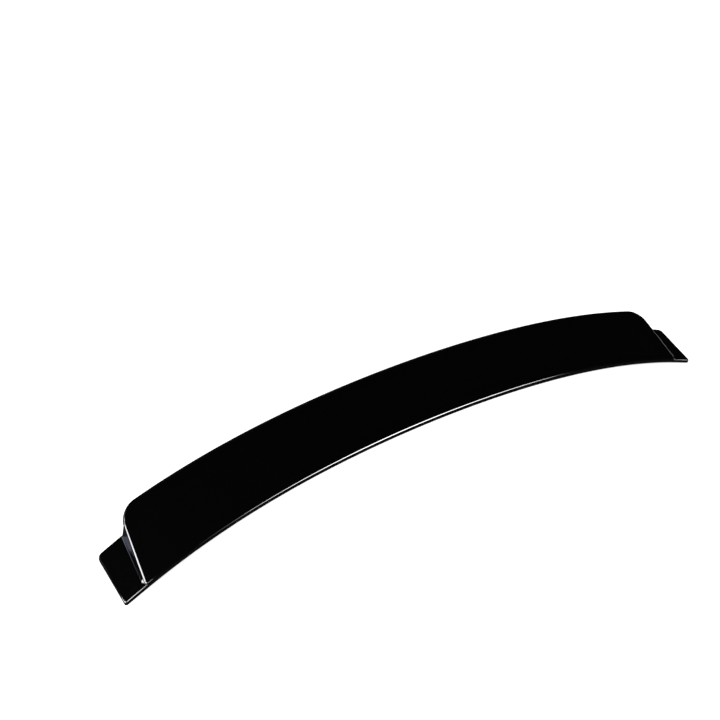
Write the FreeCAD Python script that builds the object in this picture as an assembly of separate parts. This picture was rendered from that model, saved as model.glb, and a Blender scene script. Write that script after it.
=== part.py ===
"""Roof-edge spoiler for a car's rear window: one gloss-black moulding, bowed and crowned to the glass.

X runs across the car, +Y towards the trailing edge and +Z up. Sizes are in millimetres, angles in degrees.
"""
import FreeCAD, Part
import math
import os
from FreeCAD import Vector

# Front edge: a bowed and crowned line that sits on the glass from tab to tab
half_span = 558.0
front_bow = 59.5
front_bow_end_angle = 13.3
crown_rise = 56.3
crown_end_angle = 16.6

# Blade: a sheet that rises from the front edge to a free trailing edge
blade_chord = 114.8
blade_rake_angle = 16.3
trailing_bow = 50.8
side_splay_angle = 1.0
rear_corner_radius = 32.5
front_corner_radius = 6.0

# Moulding: wall thickness, the lip turned down all round, and the solid land along the front edge
wall = 3.0
lip_height = 9.0
edge_radius = 4.5
inner_edge_radius = 1.5
inner_corner_radius = 4.0
land_width = 14.0

# Tabs: flat plates at both ends, level along their outer edges
tab_width = 33.3
tab_length = 97.5
tab_thickness = 7.5
tab_splay_angle = 10.5
tab_back_angle = 14.0
tab_back_corner_radius = 9.5
tab_front_corner_radius = 4.0
tab_edge_radius = 3.5
tab_tuck = 9.0
tab_setback = 0.4
tab_drop = 0.5

# End walls: leaning walls that close the wedge between blade and tab
end_wall_flare = 7.1
end_wall_crease = 5.5
end_wall_setback = 4.0
end_wall_front_flare = 2.6
end_wall_front_crease = 3.2
end_wall_front_setback = 10.0
end_wall_foot_radius = 3.0

# Slopes and places that follow from these sizes
rake = math.tan(math.radians(blade_rake_angle))
side_splay = math.tan(math.radians(side_splay_angle))
sheet_drop = wall / math.cos(math.radians(blade_rake_angle))
blade_half_width = half_span - tab_width
reach = 2 * (front_bow + blade_chord + tab_length)
headroom = 2 * (crown_rise + lip_height + rake * reach)


def lengthwise_poles(rise, end_angle):
    """Heights of five Bezier poles, evenly spaced along the span, for a mid rise and an angle at the ends."""
    end_pole = math.tan(math.radians(end_angle)) * half_span / 2
    mid_pole = (16 * rise - 8 * end_pole) / 6
    return [0.0, end_pole, mid_pole, end_pole, 0.0]


bow_poles = lengthwise_poles(front_bow, front_bow_end_angle)
crown_poles = lengthwise_poles(crown_rise, crown_end_angle)
span_poles = [half_span * share for share in (-1.0, -0.5, 0.0, 0.5, 1.0)]


def bezier(poles):
    curve = Part.BezierCurve()
    curve.setPoles(poles)
    return curve


def span_parameter(x):
    return (x / half_span + 1) / 2


front_plan = bezier([Vector(x, y, 0) for x, y in zip(span_poles, bow_poles)])
front_rise = bezier([Vector(x, 0, z) for x, z in zip(span_poles, crown_poles)])


def front_y(x):
    return front_plan.value(span_parameter(x)).y


def front_z(x):
    return front_rise.value(span_parameter(x)).z


def trailing_y(x):
    return front_bow + blade_chord - trailing_bow * (x / half_span) ** 2


def blade_top(x, y):
    return front_z(x) + lip_height + rake * (y - front_y(x))


def raked_face(slope, lift):
    """Surface through the front edge, lifted by a height, that rises towards the rear at one slope."""
    poles = [
        Vector(x, -reach, z + lift - slope * (y + reach))
        for x, y, z in zip(span_poles, bow_poles, crown_poles)
    ]
    return bezier(poles).toShape().extrude(Vector(0, 2 * reach, 2 * slope * reach))


def below(face):
    return face.extrude(Vector(0, 0, -headroom))


def above(face):
    return face.extrude(Vector(0, 0, headroom))


def upright(wire):
    """Vertical prism on a plan outline, taller than the part."""
    prism = Part.Face(wire).extrude(Vector(0, 0, 2 * headroom))
    prism.translate(Vector(0, 0, -headroom))
    return prism


def at_plan(edge, x, y):
    """True for an upright edge that stands at one plan position."""
    return all(math.hypot(vertex.X - x, vertex.Y - y) < 1e-3 for vertex in edge.Vertexes)


def blade_prism(front_inset, side_inset, rear_inset, front_radius, rear_radius):
    """Prism on the blade's plan: bowed front, splayed sides, bowed trailing edge and four rounded corners."""
    front_x = blade_half_width - side_inset
    front_corner_y = front_y(front_x) + front_inset
    middle_y = trailing_y(0) - rear_inset
    curvature = trailing_bow / half_span**2
    straight_x = front_x + side_splay * (middle_y - front_corner_y)
    rear_x = 2 * straight_x / (1 + math.sqrt(1 + 4 * side_splay * curvature * straight_x))
    rear_y = trailing_y(rear_x) - rear_inset
    front = front_plan.toShape(span_parameter(-front_x), span_parameter(front_x))
    front.translate(Vector(0, front_inset, 0))
    right = Part.makeLine(Vector(front_x, front_corner_y, 0), Vector(rear_x, rear_y, 0))
    rear = bezier(
        [Vector(rear_x, rear_y, 0), Vector(0, 2 * middle_y - rear_y, 0), Vector(-rear_x, rear_y, 0)]
    ).toShape()
    left = Part.makeLine(Vector(-rear_x, rear_y, 0), Vector(-front_x, front_corner_y, 0))
    prism = upright(Part.Wire([front, right, rear, left]))
    for radius, x, y in ((front_radius, front_x, front_corner_y), (rear_radius, rear_x, rear_y)):
        corners = [edge for edge in prism.Edges if at_plan(edge, x, y) or at_plan(edge, -x, y)]
        prism = prism.makeFillet(radius, corners)
    return prism


def top_edges(solid, drop):
    """Edges of a solid that lie on the blade's top surface, lowered by a drop."""
    chosen = []
    for edge in solid.Edges:
        middle = edge.valueAt((edge.FirstParameter + edge.LastParameter) / 2)
        if abs(middle.z - blade_top(middle.x, middle.y) + drop) < 0.01:
            chosen.append(edge)
    return chosen


# Tab plane: level along the outer edge, rising inwards to the front corner of the blade
tab_front = Vector(half_span, tab_setback, 0)
tab_outward = Vector(
    math.cos(math.radians(tab_splay_angle)), -math.sin(math.radians(tab_splay_angle)), 0
)
tab_along = Vector(math.sin(math.radians(tab_splay_angle)), math.cos(math.radians(tab_splay_angle)), 0)
tab_back_along = Vector(math.cos(math.radians(tab_back_angle)), -math.sin(math.radians(tab_back_angle)), 0)
blade_corner = Vector(blade_half_width, front_y(blade_half_width), 0)
seat_slope = (front_z(blade_half_width) - tab_drop) / (tab_front - blade_corner).dot(tab_outward)


def seat_z(x, y):
    """Height of the tab's underside, as a plane that falls outwards from the blade."""
    return (tab_front - Vector(x, y, 0)).dot(tab_outward) * seat_slope


def seat_rise_aft():
    return seat_slope * math.sin(math.radians(tab_splay_angle))


def make_blade():
    """Wedge between the seat surface and the raked top, hollowed from below and rounded on its top edges."""
    seat = raked_face(seat_rise_aft(), 0.0)
    top = raked_face(rake, lip_height)
    outline = blade_prism(0.0, 0.0, 0.0, front_corner_radius, rear_corner_radius)
    body = outline.common(below(top)).common(above(seat))
    body = body.makeFillet(edge_radius, top_edges(body, 0.0))
    cavity = blade_prism(land_width, wall, wall, inner_corner_radius, rear_corner_radius - wall)
    cavity = cavity.common(below(raked_face(rake, lip_height - sheet_drop)))
    cavity = cavity.makeFillet(inner_edge_radius, top_edges(cavity, sheet_drop))
    lips = raked_face(rake, 0.0)
    behind_land = upright(behind_land_outline())
    return body.cut(below(lips).common(behind_land)).cut(cavity)


def behind_land_outline():
    """Plan of everything that lies behind the land, across the whole span and past the trailing edge."""
    front = front_plan.toShape()
    front.translate(Vector(0, land_width, 0))
    corners = [
        Vector(half_span, land_width, 0),
        Vector(half_span, reach, 0),
        Vector(-half_span, reach, 0),
        Vector(-half_span, land_width, 0),
    ]
    return Part.Wire([front, Part.makePolygon(corners)])


def tab_back_corner():
    return tab_front + tab_along * tab_length


def side_x(y):
    return blade_half_width + side_splay * (y - blade_corner.y)


def meet_side(point):
    """Plan point where a line along the tab's back edge, through a point, meets the blade's side."""
    steps = (side_x(point.y) - point.x) / (tab_back_along.x - side_splay * tab_back_along.y)
    return point + tab_back_along * steps


def make_tab():
    """Flat right-hand tab: front follows the front edge, outer edge splays, and it tucks under the blade."""
    inner_x = blade_half_width - tab_tuck
    back_outer = tab_back_corner()
    back_inner = meet_side(back_outer) - tab_back_along * tab_tuck
    front_inner = Vector(inner_x, front_y(inner_x) + tab_setback, 0)
    front = front_plan.toShape(span_parameter(inner_x), span_parameter(half_span))
    front.translate(Vector(0, tab_setback, 0))
    rest = Part.makePolygon([tab_front, back_outer, back_inner, front_inner])
    prism = upright(Part.Wire([front, rest]))
    front_corner = [edge for edge in prism.Edges if at_plan(edge, tab_front.x, tab_front.y)]
    prism = prism.makeFillet(tab_front_corner_radius, front_corner)
    back_corner = [edge for edge in prism.Edges if at_plan(edge, back_outer.x, back_outer.y)]
    prism = prism.makeFillet(tab_back_corner_radius, back_corner)
    plane = Part.makePolygon([
        Vector(x, y, seat_z(x, y))
        for x, y in ((0, -reach), (2 * half_span, -reach), (2 * half_span, reach), (0, reach), (0, -reach))
    ])
    plate = prism.common(Part.Face(plane).extrude(Vector(0, 0, tab_thickness)))
    rounded = []
    for edge in plate.Edges:
        middle = edge.valueAt((edge.FirstParameter + edge.LastParameter) / 2)
        on_top = abs(middle.z - seat_z(middle.x, middle.y) - tab_thickness) < 0.01
        inner_edge = middle.x < side_x(middle.y) - tab_tuck / 2 and middle.y > front_inner.y + 1.0
        if on_top and not inner_edge:
            rounded.append(edge)
    return plate.makeFillet(tab_edge_radius, rounded)


def end_wall_section(station, flare, crease_drop):
    """Section of an end wall at a plan point of the blade's side: leaning face, coved foot and sunk root."""
    foot = seat_z(station.x, station.y) + tab_thickness
    crease = blade_top(station.x, station.y) - crease_drop
    foot_height = seat_z(*(station + tab_back_along * flare)[:2]) + tab_thickness
    fall_angle = math.atan((foot - foot_height) / flare)
    lean = flare / (crease - foot_height)
    lean_angle = math.atan(lean)
    cove = math.pi / 2 - lean_angle - fall_angle
    tangent = end_wall_foot_radius * math.tan(cove / 2)

    def in_section(outward, height):
        return station + tab_back_along * outward + Vector(0, 0, height)

    up_wall = in_section(flare - tangent * math.sin(lean_angle), foot_height + tangent * math.cos(lean_angle))
    out_tab = in_section(flare + tangent * math.cos(fall_angle), foot_height - tangent * math.sin(fall_angle))
    sharp = in_section(flare, foot_height)
    bisector = (up_wall - sharp).normalize() + (out_tab - sharp).normalize()
    bisector.normalize()
    to_arc = end_wall_foot_radius / math.cos(cove / 2) - end_wall_foot_radius
    arc = Part.Arc(up_wall, sharp + bisector * to_arc, out_tab).toShape()
    tuck = wall / 4
    seam = wall / 10
    thickness = wall / math.cos(lean_angle)
    sunk = foot_height - tab_thickness / 2
    corners = [
        out_tab,
        in_section(flare + tangent, sunk),
        in_section(flare + tab_thickness / 2 * lean - thickness, sunk),
        in_section(seam - wall, foot_height + (flare - thickness + wall - seam) / lean),
        in_section(-tuck, crease + tuck / lean),
        up_wall,
    ]
    return Part.Wire(Part.__sortEdges__([arc] + Part.makePolygon(corners).Edges))


def make_end_wall():
    """Leaning wall with a coved foot: low at the blade's front corner, tall at the back of the tab."""
    back = meet_side(tab_back_corner() - tab_along * end_wall_setback)
    front_start_y = blade_corner.y + end_wall_front_setback
    front = Vector(side_x(front_start_y), front_start_y, 0)
    apex_y = blade_corner.y + tab_setback + tab_edge_radius
    apex_x = side_x(apex_y) - wall / 2
    apex = Vector(apex_x, apex_y, seat_z(apex_x, apex_y) + tab_thickness - wall / 10)
    sections = [
        Part.Vertex(apex),
        end_wall_section(front, end_wall_front_flare, end_wall_front_crease),
        end_wall_section(back, end_wall_flare, end_wall_crease),
    ]
    return Part.makeLoft(sections, True, True)


def mirrored(shape):
    return shape.mirror(Vector(0, 0, 0), Vector(1, 0, 0))


right_tab = make_tab()
right_wall = make_end_wall()
ends = [right_tab, mirrored(right_tab), right_wall, mirrored(right_wall)]
spoiler = make_blade().fuse(ends).removeSplitter()

# The part's origin lies at the middle of its depth, under it
box = spoiler.optimalBoundingBox()
spoiler.translate(Vector(0, -(box.YMin + box.YMax) / 2, -box.ZMin))

os.makedirs("parts", exist_ok=True)
spoiler.exportStep("parts/spoiler.step")
print("solids", len(spoiler.Solids), "valid", spoiler.isValid(), "volume", round(spoiler.Volume))
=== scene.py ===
import math

import bpy
import numpy as np
from mathutils import Matrix, Quaternion, Vector


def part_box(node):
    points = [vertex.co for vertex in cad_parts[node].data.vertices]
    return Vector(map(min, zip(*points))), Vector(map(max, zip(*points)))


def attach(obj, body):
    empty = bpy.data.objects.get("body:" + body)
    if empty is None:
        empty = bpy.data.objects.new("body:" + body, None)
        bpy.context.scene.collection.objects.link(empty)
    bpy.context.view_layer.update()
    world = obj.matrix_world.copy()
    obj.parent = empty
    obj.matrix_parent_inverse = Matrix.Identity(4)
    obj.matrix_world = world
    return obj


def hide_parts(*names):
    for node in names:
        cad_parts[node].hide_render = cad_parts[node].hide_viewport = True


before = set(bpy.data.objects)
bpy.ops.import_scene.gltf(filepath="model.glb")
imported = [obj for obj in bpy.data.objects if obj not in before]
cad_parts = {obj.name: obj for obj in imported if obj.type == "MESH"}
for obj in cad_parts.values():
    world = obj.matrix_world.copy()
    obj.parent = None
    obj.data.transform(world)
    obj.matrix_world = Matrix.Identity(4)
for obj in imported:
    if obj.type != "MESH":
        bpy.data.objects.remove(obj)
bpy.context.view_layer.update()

# Blade: the raked sheet of the spoiler, bowed and crowned to the top edge of a rear window.
# Moulded in black plastic in one piece with the rest. Its edge rounds over into a lip that turns down
# all round, and a solid land behind the front edge takes the tape that fixes it.
half_span = 0.558
front_bow = 0.0595
front_bow_end_angle = 13.3
crown_rise = 0.0563
crown_end_angle = 16.6
blade_chord = 0.1148
blade_rake = math.tan(math.radians(16.3))
trailing_bow = 0.0508
side_splay = math.tan(math.radians(1.0))
tab_width = 0.0333
tab_splay_angle = math.radians(10.5)
tab_setback = 0.0004
tab_drop = 0.0005
blade_half_width = half_span - tab_width
rear_corner_radius = 0.0325
front_corner_radius = 0.006
wall = 0.003
sheet_drop = wall * math.hypot(1, blade_rake)
lip_height = 0.009
edge_radius = 0.0045
inner_edge_radius = 0.0015
inner_corner_radius = 0.004
land_width = 0.014
land_fade_power = 4
broken_edge = 0.0004
long_steps = 180
corner_steps = 14
side_steps = 22
edge_steps = 12
inner_edge_steps = 6
broken_edge_steps = 3

spoiler_low, spoiler_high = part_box("spoiler")
front_line = -spoiler_low.y - front_bow - blade_chord
trailing_line = spoiler_high.y


def span_curve(x, rise, end_angle):
    """Even quartic over the span: a rise in the middle, zero at both ends, met there at a set angle."""
    end_lift = math.tan(math.radians(end_angle)) * half_span / 2
    share = (x / half_span) ** 2
    return (2 * rise - end_lift) * (1 - share) + (end_lift - rise) * (1 - share**2)


def front_y(x):
    """Front edge in plan: the front line, bowed aft by the span's curve."""
    return front_line + span_curve(x, front_bow, front_bow_end_angle)


def front_z(x):
    """Height of the front edge's lower rim: the crown, by the span's curve."""
    return span_curve(x, crown_rise, crown_end_angle)


def trailing_y(x):
    """Trailing edge in plan: a parabola that reaches furthest aft in the middle."""
    return trailing_line - trailing_bow * (x / half_span) ** 2


def side_x(y):
    """Side edge in plan: a straight line from the front corner that splays outwards."""
    return blade_half_width + side_splay * (y - front_y(blade_half_width))


def blade_top(x, y):
    """Height of the blade: the crowned front edge, raised by the lip and by a constant rake aft."""
    return front_z(x) + lip_height + blade_rake * (y - front_y(x))


tab_front = np.array([half_span, front_line + tab_setback])
tab_outward = np.array([math.cos(tab_splay_angle), -math.sin(tab_splay_angle)])
blade_corner = np.array([blade_half_width, front_y(blade_half_width)])
seat_slope = (front_z(blade_half_width) - tab_drop) / ((tab_front - blade_corner) @ tab_outward)
seat_rise_aft = seat_slope * math.sin(tab_splay_angle)


def slope(curve, at):
    """Slope of a curve from two points a hair's breadth apart."""
    hair = 1e-5
    return (curve(at + hair) - curve(at - hair)) / (2 * hair)


def corner_circle(curve, side, radius, inward):
    """Circle that touches a curve y(x) and a line x(y): it slides along the curve until it meets the line.

    Gives the touch on the curve, the centre, and the angles at which it meets the curve and the line.
    """
    slides = 40
    lean = slope(side, 0.0)
    touch = side(curve(half_span))
    for _ in range(slides):
        tilt = slope(curve, touch)
        centre_x = touch - inward * radius * tilt / math.hypot(1, tilt)
        centre_y = curve(touch) + inward * radius / math.hypot(1, tilt)
        touch += side(centre_y) - radius * math.hypot(1, lean) - centre_x
    return touch, (centre_x, centre_y), math.atan2(-inward, inward * tilt), math.atan2(-lean, 1)


def half_outline(front, side, rear, front_radius, rear_radius, front_start, rear_start):
    """Plan outline of a right-hand half, counter-clockwise, with its inward normals.

    Front curve y(x), corner arc, side line x(y), corner arc and rear curve y(x), each evenly divided.
    """
    front_touch, front_centre, front_angle, side_angle = corner_circle(front, side, front_radius, 1)
    rear_touch, rear_centre, rear_angle, side_angle = corner_circle(rear, side, rear_radius, -1)
    front_x = np.linspace(front_start, front_touch, long_steps + 1)[:-1]
    front_turn = np.linspace(front_angle, side_angle, corner_steps + 1)
    rear_turn = np.linspace(side_angle, rear_angle, corner_steps + 1)
    rear_x = np.linspace(rear_touch, rear_start, long_steps + 1)[1:]
    front_arc = front_centre + front_radius * np.column_stack([np.cos(front_turn), np.sin(front_turn)])
    rear_arc = rear_centre + rear_radius * np.column_stack([np.cos(rear_turn), np.sin(rear_turn)])
    side_y = np.linspace(front_arc[-1, 1], rear_arc[0, 1], side_steps + 1)[1:-1]
    points = np.concatenate([
        np.column_stack([front_x, front(front_x)]),
        front_arc,
        np.column_stack([side(side_y), side_y]),
        rear_arc,
        np.column_stack([rear_x, rear(rear_x)]),
    ])
    normals = np.concatenate([
        np.column_stack([-slope(front, front_x), np.ones_like(front_x)]),
        -np.column_stack([np.cos(front_turn), np.sin(front_turn)]),
        np.column_stack([-np.ones_like(side_y), slope(side, side_y)]),
        -np.column_stack([np.cos(rear_turn), np.sin(rear_turn)]),
        np.column_stack([slope(rear, rear_x), -np.ones_like(rear_x)]),
    ])
    return points, normals / np.linalg.norm(normals, axis=1, keepdims=True)


def blade_outline(front_inset, side_inset, rear_inset, front_radius, rear_radius):
    """Closed plan outline of the blade: a right-hand half and its mirror, from the left front corner on."""
    points, normals = half_outline(
        lambda x: front_y(x) + front_inset,
        lambda y: side_x(y) - side_inset,
        lambda x: trailing_y(x) - rear_inset,
        front_radius,
        rear_radius,
        front_start=0.0,
        rear_start=0.0,
    )
    mirror = np.array([-1.0, 1.0])
    points = np.concatenate([points[:-1], (points * mirror)[:0:-1]])
    normals = np.concatenate([normals[:-1], (normals * mirror)[:0:-1]])
    corner_first = long_steps + corner_steps
    return np.roll(points, corner_first, axis=0), np.roll(normals, corner_first, axis=0)


def top_slope(points, normals):
    """Slope of the blade's top along plan normals: crown and bow tilt it across, the rake tilts it aft."""
    across = slope(front_z, points[:, 0]) - blade_rake * slope(front_y, points[:, 0])
    return across * normals[:, 0] + blade_rake * normals[:, 1]


def rounded_edge(climb, radius, steps):
    """Inset and drop of a ball-rounded edge between an upright face and a top that climbs inwards.

    The ball's contact turns from level to the top's own tilt: inset r(1 - cos turn), drop
    r(1 - sin(turn + tilt)) / cos tilt. Rows run from the top down to the upright face.
    """
    tilt = np.arctan(climb)[None, :]
    turn = np.linspace(1, 0, steps + 1)[:, None] * (math.pi / 2 - tilt)
    return radius * (1 - np.cos(turn)), radius * (1 - np.sin(turn + tilt)) / np.cos(tilt)


def show_edge(climb, radius, steps, height):
    """Inset and drop of a whole show edge: rounded at the top, upright, and broken at its foot.

    The foot is a quarter circle: inset b(1 - cos turn), drop height - b(1 - sin turn).
    """
    inset, drop = rounded_edge(climb, radius, steps)
    turn = np.linspace(0, math.pi / 2, broken_edge_steps + 1)[:, None] * np.ones(len(climb))
    inset = np.concatenate([inset, broken_edge * (1 - np.cos(turn))])
    drop = np.concatenate([drop, height - broken_edge * (1 - np.sin(turn))])
    return inset, drop


def raised(plan, height):
    """Points in space: plan points, each with its height added as a third number."""
    return np.concatenate([plan, height[..., None]], axis=-1)


def blade_rings():
    """Rows of points carried round the blade: top edge, lip, rim, and the inside of the lip.

    Each row is the outline moved inwards along its normals and hung below the top by a drop. Under the
    land, the rim's drop follows the seat's plane. The count of rows outside the rim comes with them.
    """
    outer, outer_in = blade_outline(0.0, 0.0, 0.0, front_corner_radius, rear_corner_radius)
    inset, drop = show_edge(top_slope(outer, outer_in), edge_radius, edge_steps, lip_height)
    outside = outer + inset[..., None] * outer_in[None]
    outside = raised(outside, blade_top(outside[..., 0], outside[..., 1]) - drop)

    inner, inner_in = blade_outline(
        land_width, wall, wall, inner_corner_radius, rear_corner_radius - wall
    )
    inset, drop = rounded_edge(top_slope(inner, inner_in), inner_edge_radius, inner_edge_steps)
    inside = inner + inset[..., None] * inner_in[None]
    inside = raised(inside, blade_top(inside[..., 0], inside[..., 1]) - sheet_drop - drop)[::-1]
    land_share = np.clip(inner_in[:, 1], 0, 1) ** land_fade_power
    rim_drop = lip_height + land_share * (blade_rake - seat_rise_aft) * land_width
    rim = raised(inner, blade_top(inner[:, 0], inner[:, 1]) - rim_drop)[None]
    return np.concatenate([outside, rim, inside]), len(outside)


def sheet_between(ring):
    """Plan grid inside a closed ring of four chains: a blend of the facing chains, less the corners."""
    long_count = 2 * (long_steps + corner_steps)
    front = ring[: long_count + 1]
    right = ring[long_count : long_count + side_steps + 1]
    rear = ring[long_count + side_steps : 2 * long_count + side_steps + 1][::-1]
    left = np.concatenate([ring[2 * long_count + side_steps :], ring[:1]])[::-1]
    steps = np.linalg.norm(np.diff(front, axis=0), axis=1) + np.linalg.norm(np.diff(rear, axis=0), axis=1)
    across = (np.concatenate([[0], np.cumsum(steps)]) / steps.sum())[None, :, None]
    aft = np.linspace(0, 1, side_steps + 1)[:, None, None]
    corners = (
        (1 - across) * (1 - aft) * front[0]
        + across * (1 - aft) * front[-1]
        + (1 - across) * aft * rear[0]
        + across * aft * rear[-1]
    )
    return (1 - aft) * front + aft * rear + (1 - across) * left[:, None] + across * right[:, None] - corners


def sheet_numbers(border_start, inside_start):
    """Point numbers of a sheet's grid: a ring of points along its border, and its own points inside."""
    long_count = 2 * (long_steps + corner_steps)
    ring_count = 2 * (long_count + side_steps)
    grid = np.zeros((side_steps + 1, long_count + 1), int)
    grid[0] = np.arange(long_count + 1)
    grid[:, -1] = np.arange(long_count, long_count + side_steps + 1)
    grid[-1] = np.arange(2 * long_count + side_steps, long_count + side_steps - 1, -1)
    grid[:, 0] = np.arange(ring_count, ring_count - side_steps - 1, -1) % ring_count
    grid += border_start
    inside_shape = grid[1:-1, 1:-1].shape
    grid[1:-1, 1:-1] = inside_start + np.arange(math.prod(inside_shape)).reshape(inside_shape)
    return grid


def ring_numbers(rings):
    """Point numbers of rows of rings, each row closed by its first number at the end."""
    row_count, ring_count = rings.shape[:2]
    numbers = np.arange(row_count * ring_count).reshape(row_count, ring_count)
    return np.concatenate([numbers, numbers[:, :1]], axis=1)


def quads(numbers):
    """Four-sided faces between neighbouring rows and columns of a grid of point numbers."""
    return np.stack(
        [numbers[:-1, :-1], numbers[:-1, 1:], numbers[1:, 1:], numbers[1:, :-1]], axis=-1
    ).reshape(-1, 4)


def blade_surface():
    """Closed skin of the blade: the rings round its edge, with a sheet across the first and the last.

    Points, faces and the number of each face's skin: 0 for the show side, 1 for the hidden one.
    """
    rings, outside_rows = blade_rings()
    row_count, ring_count = rings.shape[:2]
    sheets = []
    for border, lift in ((rings[0], 0.0), (rings[-1], -sheet_drop)):
        plan = sheet_between(border[:, :2])[1:-1, 1:-1]
        sheets.append(raised(plan, blade_top(plan[..., 0], plan[..., 1]) + lift).reshape(-1, 3))
    top_start = row_count * ring_count
    under_start = top_start + len(sheets[0])
    top_faces = quads(sheet_numbers(0, top_start))
    edge_faces = quads(ring_numbers(rings)[::-1])
    under_faces = quads(sheet_numbers(top_start - ring_count, under_start))[:, ::-1]
    hidden_rows = np.arange(row_count - 1) >= outside_rows - 1
    edge_skins = np.repeat(hidden_rows[::-1], ring_count)
    points = np.concatenate([rings.reshape(-1, 3)] + sheets)
    faces = np.concatenate([top_faces, edge_faces, under_faces]).tolist()
    skins = np.concatenate([np.zeros(len(top_faces)), edge_skins, np.ones(len(under_faces))])
    return points, faces, skins


# Tabs: flat plates at both ends of the blade that lie on the glass, fixed with tape.
# They are part of the same moulding, tucked under the blade's end and rounded along their show edges.
tab_length = 0.0975
tab_thickness = 0.0075
tab_back_angle = math.radians(14.0)
tab_back_corner_radius = 0.0095
tab_front_corner_radius = 0.004
tab_edge_radius = 0.0035
tab_edge_steps = 10
tab_tuck = 0.009

tab_along = np.array([math.sin(tab_splay_angle), math.cos(tab_splay_angle)])
tab_back_along = np.array([math.cos(tab_back_angle), -math.sin(tab_back_angle)])
tab_back = tab_front + tab_along * tab_length


def seat_z(plan):
    """Height of a tab's underside: a plane that is level along the outer edge and rises inwards."""
    return ((tab_front - plan) @ tab_outward) * seat_slope


def meet_side(plan):
    """Point where a line along the tab's back edge, through a point, meets the blade's side."""
    steps = (side_x(plan[1]) - plan[0]) / (tab_back_along[0] - side_splay * tab_back_along[1])
    return plan + tab_back_along * steps


def tab_surface():
    """Closed skin of the right-hand tab: a show edge carried round its outline, and two flat faces.

    All heights are taken from the seat's plane. The lower face is on the hidden side.
    """
    inner_back = meet_side(tab_back) - tab_back_along * tab_tuck
    plan, inward = half_outline(
        lambda x: front_y(x) + tab_setback,
        lambda y: tab_front[0] + math.tan(tab_splay_angle) * (y - tab_front[1]),
        lambda x: tab_back[1] - math.tan(tab_back_angle) * (x - tab_back[0]),
        tab_front_corner_radius,
        tab_back_corner_radius,
        front_start=blade_half_width - tab_tuck,
        rear_start=inner_back[0],
    )
    climb = -(inward @ tab_outward) * seat_slope
    inset, drop = show_edge(climb, tab_edge_radius, tab_edge_steps, tab_thickness)
    rows = plan + inset[..., None] * inward[None]
    rows = raised(rows, seat_z(rows) + tab_thickness - drop)
    numbers = ring_numbers(rows)
    faces = quads(numbers[::-1]).tolist()
    faces.append(numbers[0, :-1].tolist())
    faces.append(numbers[-1, -2::-1].tolist())
    skins = np.zeros(len(faces))
    skins[-1] = 1
    return rows.reshape(-1, 3), faces, skins


# End walls: thin walls that close the wedge between the blade's end and the tab.
# They belong to the same moulding, lean outwards and run into the tab in a hollow curve.
end_wall_flare = 0.0071
end_wall_crease = 0.0055
end_wall_setback = 0.004
end_wall_front_flare = 0.0026
end_wall_front_crease = 0.0032
end_wall_front_setback = 0.010
end_wall_foot_radius = 0.003
end_wall_root_depth = tab_thickness / 2
end_wall_tip_inset = wall / 2
end_wall_tuck = wall / 4
end_wall_seam = wall / 10
hollow_steps = 16
wall_steps = 40
tip_steps = 8


def end_wall_section(station, flare, crease_drop):
    """Points round the section of an end wall at a plan point of the blade's side.

    An arc that is hollow to the outside, a root sunk into the tab, the inner face and the crease.
    """
    foot_height = seat_z(station + tab_back_along * flare) + tab_thickness
    fall_angle = math.atan((seat_z(station) + tab_thickness - foot_height) / flare)
    crease = blade_top(*station) - crease_drop
    lean = flare / (crease - foot_height)
    lean_angle = math.atan(lean)
    tangent = end_wall_foot_radius * math.tan((math.pi / 2 - lean_angle - fall_angle) / 2)
    angle = math.pi + np.linspace(lean_angle, math.pi / 2 - fall_angle, hollow_steps + 1)
    centre = np.array([
        flare - tangent * math.sin(lean_angle) + end_wall_foot_radius * math.cos(lean_angle),
        foot_height + tangent * math.cos(lean_angle) + end_wall_foot_radius * math.sin(lean_angle),
    ])
    hollow = centre + end_wall_foot_radius * np.column_stack([np.cos(angle), np.sin(angle)])
    thickness = wall / math.cos(lean_angle)
    sunk = foot_height - end_wall_root_depth
    rest = np.array([
        [flare + tangent, sunk],
        [flare + end_wall_root_depth * lean - thickness, sunk],
        [end_wall_seam - wall, foot_height + (flare - thickness + wall - end_wall_seam) / lean],
        [-end_wall_tuck, crease + end_wall_tuck / lean],
    ])
    section = np.concatenate([hollow, rest])
    return raised(station + section[:, :1] * tab_back_along, section[:, 1])


def end_wall_surface():
    """Closed skin of the right-hand end wall: straight lines from a back section to a front one and a tip.

    The sides of the section that face inwards, from the root to the crease, are on the hidden side.
    """
    back = end_wall_section(
        meet_side(tab_back - tab_along * end_wall_setback), end_wall_flare, end_wall_crease
    )
    front_start_y = blade_corner[1] + end_wall_front_setback
    front = end_wall_section(
        np.array([side_x(front_start_y), front_start_y]), end_wall_front_flare, end_wall_front_crease
    )
    tip_y = blade_corner[1] + tab_setback + tab_edge_radius
    tip_plan = np.array([side_x(tip_y) - end_wall_tip_inset, tip_y])
    tip = np.append(tip_plan, seat_z(tip_plan) + tab_thickness - end_wall_seam)
    forward = np.linspace(0, 1, wall_steps + 1)[:, None, None]
    to_tip = np.linspace(0, 1, tip_steps + 1)[1:-1, None, None]
    rows = np.concatenate([back + forward * (front - back), front + to_tip * (tip - front)])
    row_count, side_count = rows.shape[:2]
    numbers = ring_numbers(rows)
    tip_number = np.full(side_count, row_count * side_count)
    faces = quads(numbers).tolist()
    faces += np.column_stack([numbers[-1, :-1], numbers[-1, 1:], tip_number]).tolist()
    faces.append(numbers[0, -2::-1].tolist())
    side_number = np.arange(side_count)
    hidden_side = (side_number > hollow_steps) & (side_number < side_count - 1)
    skins = np.append(np.tile(hidden_side, row_count), 0)
    return np.concatenate([rows.reshape(-1, 3), tip[None]]), faces, skins


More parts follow.
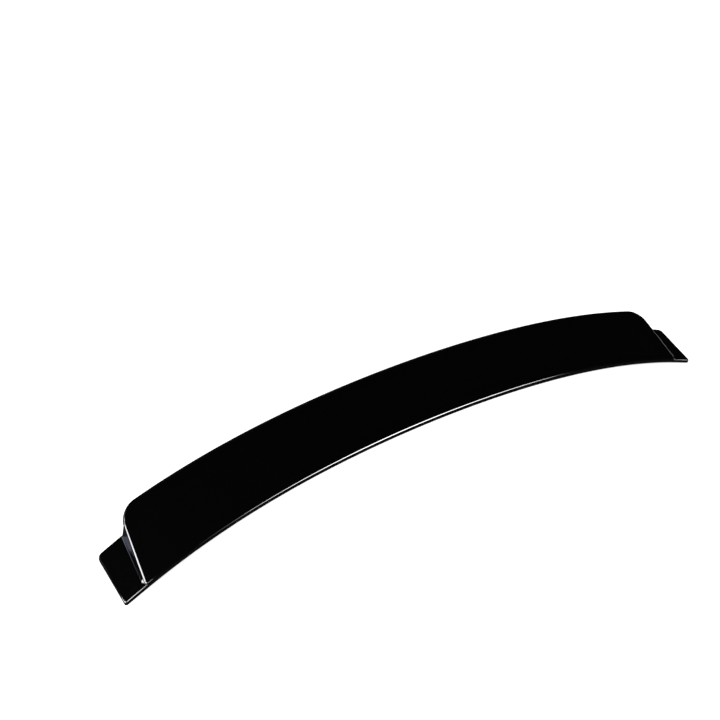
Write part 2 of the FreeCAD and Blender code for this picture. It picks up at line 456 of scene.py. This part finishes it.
# Skins: gloss black straight from a polished mould on the show side, and a satin moulded face underneath.
# The gloss has the faint waviness of a moulded panel and a little settled dust; the hidden side has
# the even fine grain of an unpolished mould.
class Wire:
    """A socket in a node tree. Arithmetic on wires adds Math nodes, and node() adds any other."""

    def __init__(self, tree, socket=None):
        self.tree = tree
        self.socket = socket

    def node(self, kind, settings=None, sockets=None, output=0):
        """Add a node with its settings and with values or wires on its sockets, and give one output."""
        made = self.tree.nodes.new(kind)
        for name, value in (settings or {}).items():
            setattr(made, name, value)
        for name, value in (sockets or {}).items():
            if isinstance(value, Wire):
                self.tree.links.new(value.socket, made.inputs[name])
            else:
                made.inputs[name].default_value = value
        return Wire(self.tree, made.outputs[output])

    def maths(self, operation, first, second):
        """Add the Math node for one operation on two wires or numbers."""
        return self.node("ShaderNodeMath", {"operation": operation}, {0: first, 1: second})

    def __add__(self, other):
        return self.maths("ADD", self, other)

    def __radd__(self, other):
        return self.maths("ADD", other, self)

    def __sub__(self, other):
        return self.maths("SUBTRACT", self, other)

    def __rsub__(self, other):
        return self.maths("SUBTRACT", other, self)

    def __mul__(self, other):
        return self.maths("MULTIPLY", self, other)

    def __rmul__(self, other):
        return self.maths("MULTIPLY", other, self)

    def __pow__(self, other):
        return self.maths("POWER", self, other)

    def __rpow__(self, other):
        return self.maths("POWER", other, self)

    def feed(self, shader, name):
        """Link the wire to a named socket of a shader or of an output."""
        self.tree.links.new(self.socket, shader.inputs[name])


def new_skin(name, **constants):
    """Material, its shader with constants set on the shader's own sockets, and its Object coordinates."""
    skin = bpy.data.materials.new(name)
    skin.use_nodes = True
    shader = skin.node_tree.nodes["Principled BSDF"]
    for socket, value in constants.items():
        shader.inputs[socket.replace("_", " ")].default_value = value
    place = Wire(skin.node_tree).node("ShaderNodeTexCoord", output="Object")
    return skin, shader, place


def noise(place, scale, detail):
    """Soft random pattern over a place, with its swells per metre and its layers of finer detail."""
    return place.node("ShaderNodeTexNoise", sockets={"Vector": place, "Scale": scale, "Detail": detail})


def relief(height, strength, depth):
    """Normal of a surface that rises and falls with a pattern, by a depth in metres."""
    sockets = {"Height": height, "Strength": strength, "Distance": depth}
    return height.node("ShaderNodeBump", sockets=sockets)


polish = 0.035
polish_clouding = 0.03
dust_rarity = 14
dust_dulling = 2.0
gloss_skin, gloss, place = new_skin(
    "gloss_black_skin", Base_Color=(0.0002, 0.0002, 0.00024, 1), IOR=1.46, Specular_IOR_Level=0.3
)
cloud = noise(place, scale=7.0, detail=2.0)
speck = noise(place, scale=900.0, detail=1.0)
dust = speck**dust_rarity * cloud
(polish + polish_clouding * cloud + dust_dulling * dust).feed(gloss, "Roughness")
wave = noise(place, scale=120.0, detail=1.0)
relief(wave, strength=0.02, depth=0.0005).feed(gloss, "Normal")

satin = 0.38
satin_clouding = 0.16
moulded_skin, moulded, place = new_skin("moulded_black_skin", Base_Color=(0.012, 0.012, 0.013, 1), IOR=1.5)
cloud = noise(place, scale=14.0, detail=3.0)
(satin + satin_clouding * cloud).feed(moulded, "Roughness")
grain = noise(place, scale=1400.0, detail=2.0)
relief(grain, strength=0.25, depth=0.0002).feed(moulded, "Normal")

# Moulding: blade, tabs and end walls joined into the one piece that leaves the mould.
# It carries no fixings of its own: tape under the land and the tabs holds it to the glass.
crease_angle = math.radians(28)


def body_from(name, points, faces, skins):
    """Object from points, faces and the number of each face's skin: 0 for gloss, 1 for satin."""
    mesh = bpy.data.meshes.new(name)
    mesh.from_pydata(points.tolist(), [], faces)
    mesh.materials.append(gloss_skin)
    mesh.materials.append(moulded_skin)
    mesh.polygons.foreach_set("material_index", np.asarray(skins, dtype=np.int32))
    mesh.update()
    body = bpy.data.objects.new(name, mesh)
    bpy.context.scene.collection.objects.link(body)
    return body


def mirrored(points, faces, skins):
    """The same surface on the left-hand side, with its faces turned to point outwards again."""
    return points * np.array([-1.0, 1.0, 1.0]), [face[::-1] for face in faces], skins


moulding = body_from("spoiler_moulding", *blade_surface())
ends = []
for surface, name in ((tab_surface, "tab"), (end_wall_surface, "end_wall")):
    right = surface()
    for side, surface_parts in (("right", right), ("left", mirrored(*right))):
        ends.append(body_from(f"{side}_{name}", *surface_parts))
for end in ends:
    join = moulding.modifiers.new(end.name, "BOOLEAN")
    join.operation = "UNION"
    join.solver = "EXACT"
    join.object = end
joined = bpy.data.meshes.new_from_object(moulding.evaluated_get(bpy.context.evaluated_depsgraph_get()))
moulding.modifiers.clear()
moulding.data = joined
for end in ends:
    bpy.data.objects.remove(end)
joined.polygons.foreach_set("use_smooth", np.ones(len(joined.polygons), dtype=bool))
joined.set_sharp_from_angle(angle=crease_angle)
shading = moulding.modifiers.new("true_flats", "WEIGHTED_NORMAL")
shading.mode = "FACE_AREA"
shading.keep_sharp = True
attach(moulding, "root")
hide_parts("spoiler")

# Floor: a plain pale studio floor of matt board under the part, wide enough to fill every view.
# Its whiteness is very slightly uneven, and its colour is painted dark to rays that the part's gloss
# mirrors: painted shade in the part's reflections, standing in for black cards round it.
floor_half_width = 9.0
floor_gap = 0.0002
board_white = 0.80
board_unevenness = 0.04
mirrored_darkening = 0.98
floor_corners = floor_half_width * np.array([[-1, -1, 0], [1, -1, 0], [1, 1, 0], [-1, 1, 0]], float)
floor_mesh = bpy.data.meshes.new("studio_floor")
floor_mesh.from_pydata((floor_corners - [0, 0, floor_gap]).tolist(), [], [[0, 1, 2, 3]])
floor = bpy.data.objects.new("studio_floor", floor_mesh)
bpy.context.scene.collection.objects.link(floor)
floor_skin, board, place = new_skin("pale_board", Roughness=0.9)
shade = noise(place, scale=2.0, detail=2.0)
mirrored_view = place.node("ShaderNodeLightPath", output="Is Glossy Ray")
# Painted shade: the board's colour is darkened to glossy rays only, so the part mirrors a dark floor while
# the camera sees a white one.
whiteness = (board_white + board_unevenness * shade) * (1 - mirrored_darkening * mirrored_view)
board_colour = place.node(
    "ShaderNodeCombineColor", sockets={"Red": whiteness, "Green": whiteness, "Blue": whiteness}
)
board_colour.feed(board, "Base Color")
floor_mesh.materials.append(floor_skin)

# Light: pale surroundings, a broad sun on the floor, and soft boxes that fall on the part alone. Each box
# stands where an edge mirrors it: the front and trailing edges, the blade's ends, the tabs. Between the
# boxes the gloss mirrors dark surroundings, as it would among black cards.
studio = bpy.data.worlds.new("studio")
studio.use_nodes = True
surround = Wire(studio.node_tree)
pale = surround.node("ShaderNodeBackground", sockets={"Color": (1, 1, 1, 1), "Strength": 1.3})
dark = surround.node("ShaderNodeBackground", sockets={"Color": (0.9, 0.95, 1.0, 1), "Strength": 0.01})
mirrored_view = surround.node("ShaderNodeLightPath", output="Is Glossy Ray")
studio_light = surround.node("ShaderNodeMixShader", sockets={0: mirrored_view, 1: pale, 2: dark})
studio_light.feed(studio.node_tree.nodes["World Output"], "Surface")
bpy.context.scene.world = studio
bpy.context.scene.view_settings.view_transform = "Standard"
far_away = 5.0


def place_light(lamp, falls_on, turn, rise, lean=0, distance=far_away, faces=(0, 0, 0)):
    """Set a lamp up at a distance from a point, facing it, so that it falls on one object only.

    Angles in degrees, as seen from the point: turn from the front to the right, rise above the floor,
    and lean of the lamp's right-hand end upwards.
    """
    level = math.cos(math.radians(rise))
    towards = Vector((
        math.sin(math.radians(turn)) * level,
        -math.cos(math.radians(turn)) * level,
        math.sin(math.radians(rise)),
    ))
    light = bpy.data.objects.new(lamp.name, lamp)
    light.location = Vector(faces) + towards * distance
    upright = towards.to_track_quat("Z", "Y")
    light.rotation_euler = (upright @ Quaternion((0, 0, 1), math.radians(lean))).to_euler()
    bpy.context.scene.collection.objects.link(light)
    lit = bpy.data.collections.new(lamp.name + "_falls_on")
    lit.objects.link(falls_on)
    light.light_linking.receiver_collection = lit


def soft_box(name, turn, rise, wide, high, brightness, tint=(1, 1, 1), distance=far_away, **placing):
    """Rectangular light for the part, wide and high by the degrees that it takes up as seen from there."""
    lamp = bpy.data.lights.new(name, "AREA")
    lamp.shape = "RECTANGLE"
    lamp.size = 2 * distance * math.tan(math.radians(wide / 2))
    lamp.size_y = 2 * distance * math.tan(math.radians(high / 2))
    lamp.energy = brightness * math.pi * lamp.size * lamp.size_y
    lamp.color = tint
    place_light(lamp, moulding, turn, rise, distance=distance, **placing)


floor_light = bpy.data.lights.new("floor_light", "SUN")
floor_light.energy = 4.7
floor_light.angle = math.radians(20)
place_light(floor_light, floor, turn=-38, rise=41)

soft_box("front_box", turn=23, rise=19, wide=30, high=15, brightness=75, lean=54)
soft_box("front_fade", turn=23, rise=19, wide=44, high=14, brightness=14, lean=54)

tab_box_distance = 0.35
left_tab_front = (-tab_front[0] + tab_width / 2, tab_front[1], tab_thickness)
soft_box(
    "left_tab_box", turn=-9, rise=37, wide=10, high=18, brightness=60,
    distance=tab_box_distance, faces=left_tab_front,
)
left_side_middle = (-blade_half_width, blade_corner[1] + tab_length / 2, tab_thickness)
soft_box(
    "left_box", turn=-100.4, rise=27, wide=16.8, high=50, brightness=40,
    distance=0.9, faces=left_side_middle,
)
left_tab_corner = (-tab_front[0], tab_front[1], tab_thickness)
soft_box(
    "left_corner_box", turn=-70, rise=25, wide=46, high=44, brightness=40,
    distance=0.2, faces=left_tab_corner,
)
soft_box("left_end_box", turn=-108.8, rise=42, wide=3.6, high=20, brightness=30)
soft_box("left_fill", turn=-123.5, rise=13, wide=14, high=34, brightness=7, tint=(0.7, 0.8, 1.0))

right_tab_front = (tab_front[0] - tab_width / 2, tab_front[1], tab_thickness)
soft_box(
    "right_tab_box", turn=52, rise=20, wide=7, high=8, brightness=32,
    distance=tab_box_distance, faces=right_tab_front,
)
soft_box("right_box", turn=99, rise=8, wide=8, high=8, brightness=6)
soft_box("back_box", turn=168, rise=50, wide=60, high=30, brightness=0.4)

# Camera: in front, to the left and well above, with the long side of the part running up to the right.
# A plain wide lens with no shift, and everything in focus.
camera_place = Vector((-0.5083, -0.5709 + front_line, 0.9451))
camera_turn = math.radians(29.19)
camera_dip = math.radians(43.42)
camera_roll = math.radians(1.71)
camera_data = bpy.data.cameras.new("camera")
camera_data.sensor_width = 36.0
camera_data.lens = 35.0
camera = bpy.data.objects.new("camera", camera_data)
camera.matrix_world = (
    Matrix.Translation(camera_place)
    @ Matrix.Rotation(-camera_turn, 4, "Z")
    @ Matrix.Rotation(math.pi / 2 - camera_dip, 4, "X")
    @ Matrix.Rotation(camera_roll, 4, "Z")
)
bpy.context.scene.collection.objects.link(camera)
bpy.context.scene.camera = camera
